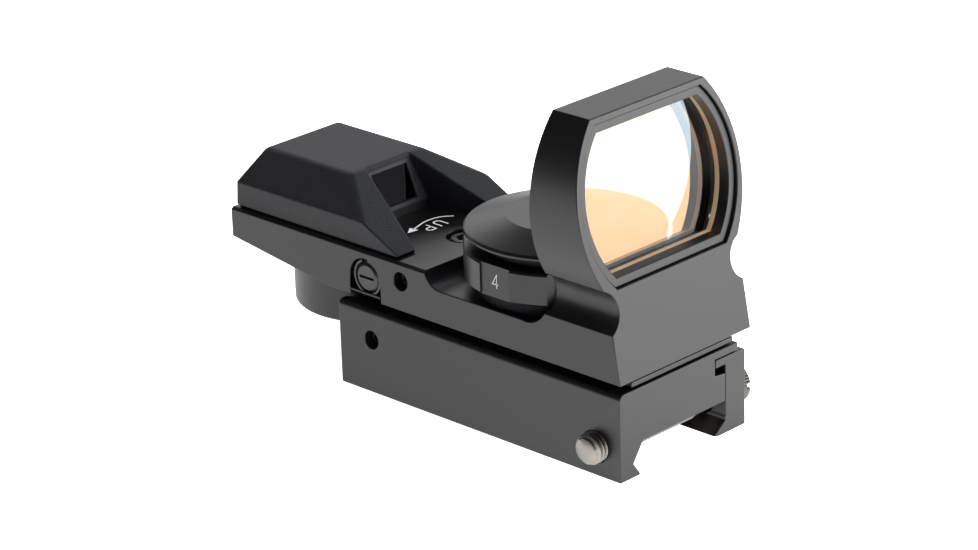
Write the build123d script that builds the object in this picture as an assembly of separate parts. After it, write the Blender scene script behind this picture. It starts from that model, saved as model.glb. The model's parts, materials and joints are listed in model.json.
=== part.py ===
# Rail-mounted open reflex sight (red dot finder), millimetres.
# Frame: X across the sight (positive side carries the windage screw), Y towards the target,
# Z up. The origin is the middle of the clamp's flat seat, which lies on top of the rail.
from build123d import *
import os
from math import cos, radians, sqrt, tan

os.makedirs("parts", exist_ok=True)

# ---- clearances -----------------------------------------------------------------------------
running = 0.05          # radial play of a shaft or screw in its hole
sliding = 0.15          # play of a part that slides past another
plunger_gap = 0.30      # between a plunger's tip and what it pushes on
swing_room = 0.35       # extra air round a part that swings with the sight

# ---- rail clamp -----------------------------------------------------------------------------
base_length = 60.0
base_side = 15.0        # outer face of the fixed jaw, from the centre plane
base_top = 8.9
base_far_face = 9.25    # face of the block that the movable jaw closes on
shelf_reach = 12.2      # the ledge above the movable jaw's hook
shelf_bottom = 7.6
jaw_drop = 5.4          # jaws reach this far below the rail seat
rail_width = 21.2       # across the rail's side edges
rail_centre = 1.4       # X of the rail's centre line
rail_edge_depth = 3.1   # the rail's side edges below its top
seat_half = 9.35        # half the flat seat's width
hook_opening = 16.95    # between the tips of the two jaws
jaw_length = 48.0
jaw_outer = 13.9
jaw_top = 7.15
hook_bottom = 6.1
hook_reach = 7.0        # the hook's end, from the centre plane
bolt_radius = 2.5
bolt_from_front = 5.1
bolt_z = -0.7
bolt_end_proud = 2.2
bolt_head_radius = 3.4
bolt_head_length = 3.8
lock_screw_radius = 1.45
base_lock_y = -22.8
base_lock_z = 3.7

# ---- tilt plate, between clamp and sight ----------------------------------------------------
pivot_y = 17.0          # both pivots cross here
tilt_pin_z = 5.0
tilt_pin_radius = 1.5
tilt_pin_end = 9.0
plate_gap = 0.25        # base to plate, lets the plate tilt
plate_thickness = 0.9
plate_half = 11.4
plate_front_inset = 0.3
lug_half = 5.0
lug_length = 7.0
pivot_radius = 2.5
pivot_thread_radius = 2.0
pivot_head_radius = 3.4
pivot_head_height = 1.9
tab_half = 3.0
tab_height = 15.8
hold_y = -6.0           # hold-down screw between the two pivots and the adjusters
hold_radius = 1.5
hold_head_radius = 2.9
hold_head_bottom = 14.4
hold_seat_z = 11.4      # the spring stands here
hold_thread = 5.0
hold_hole_radius = 2.1  # leaves a seat for the spring round the screw
hold_pocket_radius = 3.6

# ---- main housing ---------------------------------------------------------------------------
body_half = 15.0
body_bottom = 10.48
deck_z = 18.6
body_rear = -54.57
rear_rise = 3.06        # the underside climbs this much towards the rear
rear_rise_start = -32.0
front_foot = 30.23      # front face at the housing's underside
front_lean = 10.38      # degrees that the front face leans back
hood_rear = 15.62
hood_top = 50.2
hood_arc_radius = 21.0
hood_arc_z = 36.0
hood_half = 18.3
waist_half = 12.85
waist_z = 21.4
shoulder_z = 25.0
window_half = 17.2
window_arc_radius = 17.3
window_z = 36.6
window_bottom = 24.6
window_top = 49.1
window_wall = 0.5       # width of the shoulder that the lens stands on
lens_depth = 3.2        # lens front face behind the front face
lens_thickness = 2.6
frame_depth = 0.5       # the lens frame's front behind the front face
frame_width = 1.35
frame_gap = 0.1         # housing to lens frame
pocket_floor = 16.05
pocket_rear = -10.35
cavity_half = 11.5
cavity_front = -12.0
cavity_rear = -27.0
deck_thickness = 2.0

# ---- brightness dial and battery ------------------------------------------------------------
dial_y = 5.16
dial_radius = 15.7
dial_bottom = 18.3
dial_top = 23.5
dial_facets = 16
facet_depth = 0.55      # every other facet is a sunk flat
clip_z = 13.2           # retaining groove near the spindle's end
seat_screw_radius = 1.0
dial_spindle_radius = 3.0
seat_radius = 14.0
seat_thickness = 1.8
board_thickness = 0.8
neck_radius = 12.9
neck_top = 25.2
battery_radius = 10.0
battery_thickness = 3.2
cap_radius = 15.4
cap_bottom = 25.35
cap_rim_height = 0.9
cap_top = 27.9
cap_flat_radius = 8.8
skirt_radius = 11.2
skirt_inner = 10.4
skirt_bottom = 22.6
oring_section = 0.5

# ---- adjusting screws -----------------------------------------------------------------------
elevation_y = -16.0
elevation_radius = 2.4
elevation_bottom = 12.5
elevation_recess_radius = 3.1   # sunk ring in the deck round the screw
elevation_recess_depth = 1.3
elevation_socket_radius = 1.55
elevation_socket_depth = 1.5
set_screw_sunk = 1.5    # the side screws stand this far inside their holes
windage_y = -23.4
windage_z = 14.1
windage_radius = 2.45
windage_face = 14.85
windage_inner = 8.6     # the screw's inner end
bush_wall = 0.6
recess_radius = 3.4
recess_depth = 3.0
ledge_z = 11.6          # top of the lip under the windage screw
ledge_thickness = 0.45
side_lock_y = -15.7
side_lock_z = 15.5
plunger_radius = 1.0

# ---- reticle selector -----------------------------------------------------------------------
selector_y = -36.5
knob_radius = 13.5
knob_bottom = 3.6
knob_top = 12.6
spindle_radius = 3.0
drum_half = 2.4
drum_bottom = 19.8
drum_top = 24.5
drum_hole_z = 22.8

# ---- emitter hood ---------------------------------------------------------------------------
cover_half = 14.2
cover_rear = -54.1
cover_band_top = 23.0
cover_top = 27.4
cover_roof_half = 8.0
cover_roof_front = -33.0
cover_slope = 0.52      # fall of the front slope per millimetre
cover_front = -17.0
cover_wall = 1.4
cover_rebate = 0.45     # undercut round the cover's foot
notch_rear_half = 4.9
notch_flare = 0.323
cover_screw_x = 10.9
cover_screw_reach = 5.5
cover_screw_radius = 0.8
cover_boss_radius = 2.05
cover_screw_head = 1.55
window_frame_half = 3.9
board_half = 7.4
board_bottom = 24.9
lead_x = -6.3           # middle of the pair of lamp leads

plate_bottom = base_top + plate_gap
plate_top = plate_bottom + plate_thickness
base_front = base_length / 2
bolt_y = base_front - bolt_from_front
near_tip = rail_centre + rail_width / 2 - 1.55
far_edge = rail_centre - rail_width / 2
knob_air = knob_radius + swing_room + 0.95   # room for the knob as the sight swings
floor_bottom = pocket_floor - 1.85
pocket_radius = max(dial_radius, cap_radius, seat_radius) + swing_room   # clears all that stands in it


def block(x0, x1, y0, y1, z0, z1):
    """Box between two corners."""
    return Pos((x0 + x1) / 2, (y0 + y1) / 2, (z0 + z1) / 2) * Box(x1 - x0, y1 - y0, z1 - z0)


def post(radius, x, y, z0, z1):
    """Upright cylinder."""
    return Pos(x, y, (z0 + z1) / 2) * Cylinder(radius, z1 - z0)


def bar(radius, y, z, x0, x1):
    """Cylinder lying along X."""
    return Pos((x0 + x1) / 2, y, z) * Rot(0, 90, 0) * Cylinder(radius, x1 - x0)


def along_x(outline, x0, x1):
    """Solid with a (Y, Z) outline, from x0 to x1."""
    plane = Plane(origin=(x0, 0, 0), x_dir=(0, 1, 0), z_dir=(1, 0, 0))
    return extrude(plane * make_face(outline), x1 - x0)


def along_y(outline, y0, y1):
    """Solid with an (X, Z) outline, from y0 to y1."""
    plane = Plane(origin=(0, y1, 0), x_dir=(1, 0, 0), z_dir=(0, -1, 0))
    return extrude(plane * make_face(outline), y1 - y0)


def along_z(outline, z0, z1):
    """Solid with an (X, Y) outline, from z0 to z1."""
    return extrude(Pos(0, 0, z0) * make_face(outline), z1 - z0)


def closed(*points):
    """Closed outline of straight edges."""
    return Polyline(*points, close=True)


def turned(y, *points):
    """Solid turned about the upright axis at (0, y), from (radius, z) points."""
    face = make_face(Plane.XZ * Polyline(*points, close=True))
    return Pos(0, y, 0) * revolve(face, Axis.Z)


def front_at(z):
    """Y of the leaning front face at a height."""
    return front_foot - (z - body_bottom) * tan(radians(front_lean))


def leaning_slab(near, far):
    """Everything between two depths behind the front face."""
    slant = cos(radians(front_lean))
    low, high = body_bottom - 5, hood_top + 5
    outline = closed(
        (front_at(low) - near / slant, low),
        (front_at(high) - near / slant, high),
        (front_at(high) - far / slant, high),
        (front_at(low) - far / slant, low),
    )
    return along_x(outline, -hood_half - 5, hood_half + 5)


def window_outline(inset):
    """Outline of the lens window, drawn in by an inset."""
    centre = window_half - window_arc_radius
    radius = window_arc_radius - inset
    low, high = window_bottom + inset, window_top - inset
    low_half = centre + sqrt(radius**2 - (low - window_z) ** 2)
    high_half = centre + sqrt(radius**2 - (high - window_z) ** 2)
    widest = centre + radius
    return Wire([
        Line((-low_half, low), (low_half, low)),
        ThreePointArc((low_half, low), (widest, window_z), (high_half, high)),
        Line((high_half, high), (-high_half, high)),
        ThreePointArc((-high_half, high), (-widest, window_z), (-low_half, low)),
    ])


def window_prism(inset, y0, y1):
    """The window outline carried along the line of sight."""
    return along_y(window_outline(inset), y0, y1)


def housing_front_outline():
    """Front view of the housing: straight sides, waist grooves, bulged hood sides, flat top."""
    centre = hood_half - hood_arc_radius
    top_half = centre + sqrt(hood_arc_radius**2 - (hood_top - hood_arc_z) ** 2)
    shoulder_half = centre + sqrt(hood_arc_radius**2 - (shoulder_z - hood_arc_z) ** 2)
    wall_top = deck_z - 0.3
    edges = [Line((-body_half, body_bottom), (body_half, body_bottom))]
    for side in (1, -1):
        edges += [
            Line((side * body_half, body_bottom), (side * body_half, wall_top)),
            ThreePointArc(
                (side * body_half, wall_top), (side * waist_half, waist_z),
                (side * shoulder_half, shoulder_z),
            ),
            ThreePointArc(
                (side * shoulder_half, shoulder_z), (side * hood_half, hood_arc_z),
                (side * top_half, hood_top),
            ),
        ]
    edges.append(Line((-top_half, hood_top), (top_half, hood_top)))
    return Wire(Wire.combine(edges)[0].edges())


def housing_side_outline():
    """Side view of the housing: leaning front, upright rear of the hood, dial pocket, deck."""
    pocket_front = hood_rear - 0.4
    return Wire([
        Line((body_rear, body_bottom + rear_rise), (rear_rise_start, body_bottom)),
        Line((rear_rise_start, body_bottom), (front_foot, body_bottom)),
        Line((front_foot, body_bottom), (front_at(hood_top), hood_top)),
        Line((front_at(hood_top), hood_top), (hood_rear, hood_top)),
        Line((hood_rear, hood_top), (hood_rear, deck_z)),
        Line((hood_rear, deck_z), (pocket_front, deck_z)),
        ThreePointArc(
            (pocket_front, deck_z), (pocket_front - 1.6, pocket_floor + 0.7),
            (pocket_front - 5, pocket_floor),
        ),
        Line((pocket_front - 5, pocket_floor), (pocket_rear + 3.4, pocket_floor)),
        ThreePointArc(
            (pocket_rear + 3.4, pocket_floor), (pocket_rear + 1.1, pocket_floor + 0.8),
            (pocket_rear, deck_z),
        ),
        Line((pocket_rear, deck_z), (body_rear, deck_z)),
        Line((body_rear, deck_z), (body_rear, body_bottom + rear_rise)),
    ])


def cover_screw_places():
    return [
        (side * cover_screw_x, selector_y + step * cover_screw_reach)
        for side in (1, -1) for step in (1, -1)
    ]


# ---- clamp ----------------------------------------------------------------------------------
def rail_clamp_base():
    """Block with the fixed jaw, the seat on the rail and the slot of the movable jaw's hook."""
    edge = rail_centre + rail_width / 2
    outline = closed(
        (base_side, -jaw_drop), (base_side, base_top), (-shelf_reach, base_top),
        (-shelf_reach, shelf_bottom), (-hook_reach + sliding, shelf_bottom),
        (-hook_reach + sliding, hook_bottom - 1.2), (-base_far_face, hook_bottom - 1.4),
        (-base_far_face, 0), (rail_centre + seat_half - 0.95, 0),
        (edge, -rail_edge_depth), (near_tip, -jaw_drop + 0.15), (near_tip + 0.3, -jaw_drop),
    )
    shape = along_y(outline, -base_front, base_front)
    shape = fillet(shape.edges().filter_by(Axis.Y).filter_by_position(
        Axis.Z, base_top - 0.01, base_top + 0.01).sort_by(Axis.X)[-1:], 1.0)
    lug_room = lug_length / 2 + 0.4
    shape -= block(-lug_half - 0.3, lug_half + 0.3, pivot_y - lug_room, pivot_y + lug_room,
                   tilt_pin_z - 2.4, base_top + 1)
    shape -= bar(tilt_pin_radius, pivot_y, tilt_pin_z, -hook_reach - 1, tilt_pin_end)
    shape -= bar(bolt_radius + running, bolt_y, bolt_z, -20, 20)
    shape -= bar(bolt_radius + 5 * running, bolt_y, bolt_z, -20, near_tip - 0.5)
    shape -= post(knob_air, 0, selector_y, knob_bottom - 1.0, base_top + 1)
    shape -= bar(lock_screw_radius + running, base_lock_y, base_lock_z, 0, 20)
    return shape - post(hold_radius, 0, hold_y, base_top - hold_thread, base_top + 1)


def movable_jaw():
    """Clamping bar with a hook that rides in the block's slot."""
    outline = closed(
        (-jaw_outer, -jaw_drop), (-jaw_outer, jaw_top), (-jaw_outer + 0.4, shelf_bottom - sliding),
        (-hook_reach, shelf_bottom - sliding), (-hook_reach, hook_bottom),
        (-base_far_face - 0.05, hook_bottom), (-base_far_face - 0.05, -2.4),
        (far_edge + 0.05, -2.75), (far_edge + 0.05, -3.2),
        (near_tip - hook_opening, -jaw_drop + 0.3),
        (near_tip - hook_opening - 1.1, -jaw_drop),
    )
    shape = along_y(outline, base_front - jaw_length, base_front)
    shape -= bar(bolt_radius + 2 * running, bolt_y, bolt_z, -20, 0)
    return shape


def clamp_bolt():
    """Cross bolt with a round knurled head, its end standing out of the fixed jaw."""
    end = base_side + bolt_end_proud
    head = -jaw_outer - 0.05
    shank = bar(bolt_radius, bolt_y, bolt_z, head, end - 0.55)
    tip = Pos(end - 0.275, bolt_y, bolt_z) * Rot(0, 90, 0) * Cone(bolt_radius, bolt_radius - 0.55, 0.55)
    knob = chamfer(
        bar(bolt_head_radius, bolt_y, bolt_z, head - bolt_head_length, head).edges(), 0.35)
    slot = block(head - bolt_head_length - 1, head - bolt_head_length + 1.2,
                 bolt_y - 4, bolt_y + 4, bolt_z - 0.5, bolt_z + 0.5)
    return shank + tip + knob - slot


def base_lock_screw():
    """Socket set screw in the side of the clamp."""
    return set_screw(lock_screw_radius, base_lock_y, base_lock_z, 7.5, base_side - set_screw_sunk)


def set_screw(radius, y, z, x0, x1):
    """Headless screw lying along X with a hexagon socket at its outer end."""
    socket = Pos(x1 - 1.2, y, z) * Rot(0, 90, 0) * extrude(RegularPolygon(0.85, 6), 2)
    return chamfer(bar(radius, y, z, x0, x1).edges(), 0.25) - socket


# ---- tilt plate -----------------------------------------------------------------------------
def tilt_plate():
    """Thin plate that tilts on the clamp and carries the sight's upright pivot."""
    front = base_front - plate_front_inset
    shape = block(-plate_half, plate_half + 0.5, -base_front + 2, front, plate_bottom, plate_top)
    shape -= post(knob_air, 0, selector_y, plate_bottom - 1, plate_top + 1)
    shape += block(-lug_half, lug_half, pivot_y - lug_length / 2, pivot_y + lug_length / 2,
                   tilt_pin_z - 2.1, plate_bottom + 0.2)
    shape -= bar(tilt_pin_radius + running, pivot_y, tilt_pin_z, -lug_half - 1, lug_half + 1)
    shape -= post(pivot_thread_radius + running, 0, pivot_y, tilt_pin_z + 1.7, plate_top + 1)
    shape -= post(plunger_radius + 1.1, 0, elevation_y, plate_bottom - 1, plate_top + 1)
    shape -= post(2.3, 0, hold_y, plate_bottom - 1, plate_top + 1)
    shape += block(-tab_half, tab_half, windage_y + 1.8, windage_y + 3.2, plate_top - 0.2, tab_height)
    shape += block(-tab_half, tab_half, windage_y - 1.6, windage_y + 3.2, knob_top + 0.6, tab_height)
    return shape


def tilt_pin():
    return bar(tilt_pin_radius, pivot_y, tilt_pin_z, -hook_reach + 0.5, tilt_pin_end)


def pivot_screw():
    """Shoulder screw that the sight swings on, threaded into the plate's lug."""
    top = pocket_floor - 0.15
    shape = post(pivot_head_radius, 0, pivot_y, top - pivot_head_height, top)
    shape += post(pivot_radius, 0, pivot_y, plate_top, top - pivot_head_height + 0.1)
    shape += post(pivot_thread_radius, 0, pivot_y, tilt_pin_z + 1.8, plate_top + 0.1)
    return shape - post(1.4, 0, pivot_y, top - 1.1, top + 1)


def hold_down_screw():
    """Screw in the clamp whose head presses the sight down through a spring."""
    shape = post(hold_radius, 0, hold_y, base_top - hold_thread, hold_head_bottom)
    shape += post(hold_head_radius, 0, hold_y, hold_head_bottom, pocket_floor - 0.2)
    return shape - block(-4, 4, hold_y - 0.4, hold_y + 0.4, pocket_floor - 0.9, pocket_floor)


def hold_down_spring():
    """Compression spring under the hold-down screw's head."""
    bottom, top, wire = hold_seat_z, hold_head_bottom, 0.25
    rise = top - bottom - 2 * wire - 0.1
    path = Helix(pitch=rise / 3, height=rise, radius=2.25)
    section = Plane(origin=path @ 0, z_dir=path % 0) * Circle(wire)
    return Pos(0, hold_y, bottom + wire + 0.05) * sweep(section, path=path)


# ---- housing --------------------------------------------------------------------------------
def main_housing():
    """Housing with lens hood, dial pocket, deck and the hollow for the adjusters."""
    side = along_x(housing_side_outline(), -hood_half - 1, hood_half + 1)
    shape = side & along_y(housing_front_outline(), body_rear - 1, front_foot + 1)
    shape -= window_prism(0, hood_rear - 5, front_foot + 5) & leaning_slab(-9, lens_depth + lens_thickness)
    shape -= window_prism(window_wall, hood_rear - 5, front_foot + 5)
    shape -= post(pocket_radius, 0, dial_y, pocket_floor, cap_top + 0.4)
    shape -= post(pivot_radius + running, 0, pivot_y, body_bottom - 1, pocket_floor + 1)
    shape -= post(pivot_head_radius + 0.15, 0, pivot_y,
                  pocket_floor - 0.15 - pivot_head_height - 0.1, pocket_floor + 1)
    shape -= post(dial_spindle_radius + running, 0, dial_y, body_bottom - 1, pocket_floor + 1)
    shape -= post(6.2, 0, dial_y, body_bottom - 1, floor_bottom)
    shape -= post(hold_hole_radius, 0, hold_y, body_bottom - 1, pocket_floor + 1)
    shape -= post(hold_pocket_radius, 0, hold_y, hold_seat_z, pocket_floor + 1)
    shape -= block(-cavity_half, cavity_half, cavity_rear, cavity_front,
                   body_bottom - 1, deck_z - deck_thickness)
    shape += post(elevation_radius + 1.0, 0, elevation_y, elevation_bottom + 0.3, deck_z - deck_thickness + 0.1)
    shape -= post(knob_radius + 0.4, 0, selector_y, body_bottom - 1, knob_top + 0.25)
    shape -= post(spindle_radius + running, 0, selector_y, knob_top, deck_z + 1)
    shape -= post(elevation_radius + running, 0, elevation_y, body_bottom, deck_z + 1)
    shape -= post(elevation_recess_radius, 0, elevation_y, deck_z - elevation_recess_depth, deck_z + 1)
    for x, y in seat_screw_places():
        shape -= post(seat_screw_radius, x, y, pocket_floor - 3.5, pocket_floor + 1)
    for x, y in cover_screw_places():
        shape -= post(cover_screw_radius + running, x, y, knob_top, deck_z + 1)
        shape -= post(cover_screw_head + running, x, y, knob_top, knob_top + 1.75)
    shape -= bar(windage_radius + bush_wall, windage_y, windage_z, 8, body_half - recess_depth + 0.1)
    shape -= bar(recess_radius, windage_y - 0.3, windage_z - 0.26, body_half - recess_depth, body_half + 1)
    arch = windage_y - 0.3
    shape -= block(body_half - recess_depth, body_half + 1, arch - recess_radius,
                   arch + recess_radius, body_bottom - 1, windage_z - 0.26)
    shape -= block(cavity_half - 1, body_half, arch - recess_radius, arch + recess_radius,
                   body_bottom - 1, ledge_z - ledge_thickness)
    shape += block(body_half - recess_depth - 0.1, body_half - 0.1, arch - recess_radius,
                   arch + recess_radius, ledge_z - ledge_thickness, ledge_z)
    shape -= bar(lock_screw_radius + running, side_lock_y, side_lock_z, elevation_radius, body_half + 1)
    shape -= wire_channel()
    return shape


def wire_channel():
    """Way for the lamp's two leads: down through the floor, back under the deck, up to the board."""
    channel = block(lead_x - 1.4, lead_x + 1.4, cavity_front - 1, 0.4, floor_bottom - 0.8, floor_bottom + 0.8)
    channel += block(lead_x - 1.4, lead_x + 1.4, -1.4, 0.4, floor_bottom, pocket_floor + 1)
    channel += block(lead_x - 1.4, lead_x + 1.4, -45.4, cavity_rear + 1, floor_bottom - 0.8, floor_bottom + 0.8)
    channel += block(lead_x - 1.4, lead_x + 1.4, -45.4, -43.6, floor_bottom, deck_z + 1)
    return channel


def lens():
    """Tilted collimating lens that fills the window."""
    return window_prism(sliding, 0, 40) & leaning_slab(lens_depth, lens_depth + lens_thickness)


def lens_retainer():
    """Thin frame in front of the lens."""
    frame = window_prism(frame_gap, 0, 40) - window_prism(frame_gap + frame_width, -1, 41)
    return frame & leaning_slab(frame_depth, lens_depth)


def windage_bush():
    """Ring in the side wall that the windage screw turns in."""
    ring = bar(windage_radius + bush_wall, windage_y, windage_z, 9.0, body_half - recess_depth - 0.1)
    return ring - bar(windage_radius + running, windage_y, windage_z, 8, 16)


def windage_screw():
    body = bar(windage_radius, windage_y, windage_z, windage_inner, windage_face)
    body = chamfer(body.edges(), 0.5)
    body -= bar(plunger_radius + running, windage_y, windage_z, 8, 11.9)
    return body - block(windage_face - 0.5, windage_face + 1, windage_y - 1.6, windage_y + 1.6,
                        windage_z - 0.22, windage_z + 0.22)


def windage_plunger():
    """Plain rod between the windage screw and the plate's tab."""
    return bar(plunger_radius, windage_y, windage_z, tab_half + plunger_gap, 10.8)


def elevation_screw():
    body = post(elevation_radius, 0, elevation_y, elevation_bottom, deck_z - 0.25)
    body = chamfer(body.edges(), 0.2)
    body -= post(plunger_radius + running, 0, elevation_y, elevation_bottom - 1, 15.6)
    socket_floor = deck_z - 0.25 - elevation_socket_depth
    socket = extrude(Pos(0, elevation_y, socket_floor) * RegularPolygon(elevation_socket_radius, 6), 3)
    return body - socket


def elevation_plunger():
    """Plain rod between the elevation screw and the top of the clamp."""
    return post(plunger_radius, 0, elevation_y, base_top + plunger_gap, 15.0)


def side_lock_screw():
    """Set screw that bears on the elevation screw."""
    return set_screw(lock_screw_radius, side_lock_y, side_lock_z, elevation_radius + 0.35, body_half - set_screw_sunk)


# ---- dial -----------------------------------------------------------------------------------
def switch_seat():
    """Round plate under the dial."""
    top = pocket_floor + seat_thickness
    shape = post(seat_radius, 0, dial_y, pocket_floor, top)
    shape -= post(dial_spindle_radius + running, 0, dial_y, pocket_floor - 1, top + 1)
    shape -= block(lead_x - 1.4, lead_x + 1.4, -1.4, 0.4, pocket_floor - 1, top + 1)
    for x, y in seat_screw_places():
        shape -= post(seat_screw_radius + running, x, y, pocket_floor - 1, top + 1)
    return shape


def seat_screw_places():
    return [(side * 8.0, dial_y + 6.0) for side in (1, -1)]


def seat_screws():
    """Two small screws that hold the seat and the switch board down."""
    top = pocket_floor + seat_thickness + board_thickness
    group = []
    for x, y in seat_screw_places():
        group.append(post(seat_screw_radius, x, y, pocket_floor - 3.5, top) + post(1.7, x, y, top, top + 0.7))
    return Compound(children=group)


def switch_board():
    """Ring-shaped circuit board with the brightness switch's contact tracks."""
    bottom = pocket_floor + seat_thickness
    shape = post(11.3, 0, dial_y, bottom, bottom + board_thickness)
    shape -= post(4.0, 0, dial_y, bottom - 1, bottom + 2)
    for x, y in seat_screw_places():
        shape -= post(seat_screw_radius + running, x, y, bottom - 1, bottom + 2)
    return shape


def brightness_dial():
    """Faceted ring with the battery's cup and the spindle that it turns on."""
    shape = turned(
        dial_y, (0, clip_z - 0.9), (dial_spindle_radius, clip_z - 0.9),
        (dial_spindle_radius, clip_z), (dial_spindle_radius - 0.7, clip_z),
        (dial_spindle_radius - 0.7, clip_z + 0.7), (dial_spindle_radius, clip_z + 0.7),
        (dial_spindle_radius, 19.95), (11.9, 19.95), (11.9, dial_bottom), (dial_radius - 0.3, dial_bottom),
        (dial_radius, dial_bottom + 0.3), (dial_radius, dial_top - 0.3),
        (dial_radius - 0.3, dial_top), (neck_radius, dial_top), (neck_radius, neck_top),
        (skirt_radius + 0.1, neck_top), (skirt_radius + 0.1, skirt_bottom - 0.2),
        (battery_radius + 0.2, skirt_bottom - 0.2), (battery_radius + 0.2, 20.75), (0, 20.75),
    )
    flat = dial_radius - facet_depth
    half = flat * tan(radians(180 / dial_facets))
    sunk = block(flat, dial_radius + 1, -half, half, dial_bottom - 1, dial_top + 1)
    for index in range(0, dial_facets, 2):
        shape -= Pos(0, dial_y, 0) * Rot(0, 0, index * 360 / dial_facets) * sunk
    return shape


def spindle_clip():
    """Retaining ring in the dial spindle's groove."""
    ring = post(4.6, 0, dial_y, clip_z + 0.05, clip_z + 0.65)
    ring -= post(dial_spindle_radius - 0.65, 0, dial_y, clip_z - 1, clip_z + 2)
    return ring - block(-1.6, 1.6, dial_y, dial_y + 8, clip_z - 1, clip_z + 2)


def contact_wiper():
    """Thin spring ring under the dial's floor that runs over the board's tracks."""
    return post(10.6, 0, dial_y, 19.7, 19.95) - post(7.4, 0, dial_y, 19, 21)


def cell_contact():
    """Thin contact disc under the cell."""
    return post(6.0, 0, dial_y, 20.75, 20.95)


def coin_cell():
    return chamfer(post(battery_radius, 0, dial_y, 20.95, 20.95 + battery_thickness).edges(), 0.3)


def battery_cap():
    """Domed screw cap with a threaded skirt."""
    return turned(
        dial_y, (0, cap_bottom + 0.75), (skirt_inner, cap_bottom + 0.75), (skirt_inner, skirt_bottom),
        (skirt_radius, skirt_bottom), (skirt_radius, cap_bottom), (cap_radius - 0.3, cap_bottom),
        (cap_radius, cap_bottom + 0.25), (cap_radius, cap_bottom + cap_rim_height - 0.25),
        (cap_radius - 0.35, cap_bottom + cap_rim_height), (cap_flat_radius, cap_top), (0, cap_top),
    )


def cap_contact():
    """Spring disc in the cap that presses on the cell."""
    low = 21.0 + battery_thickness
    return turned(dial_y, (0, low), (4.0, low), (8.2, cap_bottom + 0.55), (8.2, cap_bottom + 0.75),
                  (7.9, cap_bottom + 0.75), (3.8, low + 0.2), (0, low + 0.2))


def cap_oring():
    """Rubber ring round the dial's neck, under the cap."""
    centre_z = cap_bottom - oring_section
    ring = Torus(neck_radius + oring_section + 0.02, oring_section - 0.02)
    return Pos(0, dial_y, centre_z) * ring


# ---- reticle selector -----------------------------------------------------------------------
def selector_knob():
    """Round knob under the rear of the housing, with a grip web across its underside."""
    shape = post(knob_radius, 0, selector_y, knob_bottom, knob_top)
    shape = fillet(shape.edges().sort_by(Axis.Z)[0], 0.6)
    hollow = post(knob_radius - 2.0, 0, selector_y, knob_bottom - 1, knob_bottom + 4.5)
    hollow -= block(-1.4, 1.4, selector_y - 20, selector_y + 20, knob_bottom - 2, knob_top)
    shape -= hollow
    return shape - post(spindle_radius, 0, selector_y, knob_top - 2.5, knob_top + 1)


def selector_spindle():
    """Shaft from the knob up through the deck, with a groove for its clip."""
    shape = post(spindle_radius, 0, selector_y, knob_top - 2.5, drum_bottom)
    groove = post(spindle_radius + 1, 0, selector_y, deck_z + 0.15, deck_z + 0.75)
    return shape - (groove - post(spindle_radius - 0.6, 0, selector_y, deck_z, deck_z + 1))


def selector_clip():
    ring = post(4.4, 0, selector_y, deck_z + 0.2, deck_z + 0.7)
    ring -= post(spindle_radius - 0.55, 0, selector_y, deck_z, deck_z + 1)
    return ring - block(-1.6, 1.6, selector_y, selector_y + 8, deck_z, deck_z + 1)


def reticle_drum():
    """Square turret with a pattern hole in each side, open at the top for the lamp."""
    shape = block(-drum_half, drum_half, selector_y - drum_half, selector_y + drum_half,
                  drum_bottom, drum_top)
    shape -= post(2.0, 0, selector_y, drum_bottom + 0.9, drum_top + 1)
    shape -= bar(0.7, selector_y, drum_hole_z, -6, 6)
    return shape - Pos(0, selector_y, drum_hole_z) * Rot(90, 0, 0) * Cylinder(0.7, 12)


def reticle_foils():
    """Four thin foils with the aiming patterns, one on each side of the turret."""
    foil = block(-1.6, 1.6, drum_half, drum_half + 0.1, drum_hole_z - 1.5, drum_hole_z + 1.5)
    foil -= Pos(0, 0, drum_hole_z) * Rot(90, 0, 0) * Cylinder(0.15, 12)
    return Compound(children=[Pos(0, selector_y, 0) * Rot(0, 0, 90 * i) * foil for i in range(4)])


# ---- emitter --------------------------------------------------------------------------------
def cover_block(inset):
    """The cover's outer form, drawn in by an inset, standing on the deck."""
    top, band = cover_top - inset, cover_band_top - 0.4 * inset
    half, roof_half = cover_half - inset, cover_roof_half - 0.4 * inset
    front_view = closed((-half, deck_z), (half, deck_z), (half, band), (roof_half, top),
                        (-roof_half, top), (-half, band))
    roof_front = cover_roof_front - 0.3 * inset
    foot = roof_front + (top - deck_z) / cover_slope
    side_view = closed((cover_rear + inset, deck_z), (cover_rear + 0.3 + inset, band),
                       (cover_rear + 1.1 + inset, top), (roof_front, top), (foot, deck_z))
    return along_y(front_view, cover_rear, cover_front + 3) & along_x(side_view, -half, half)


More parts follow.
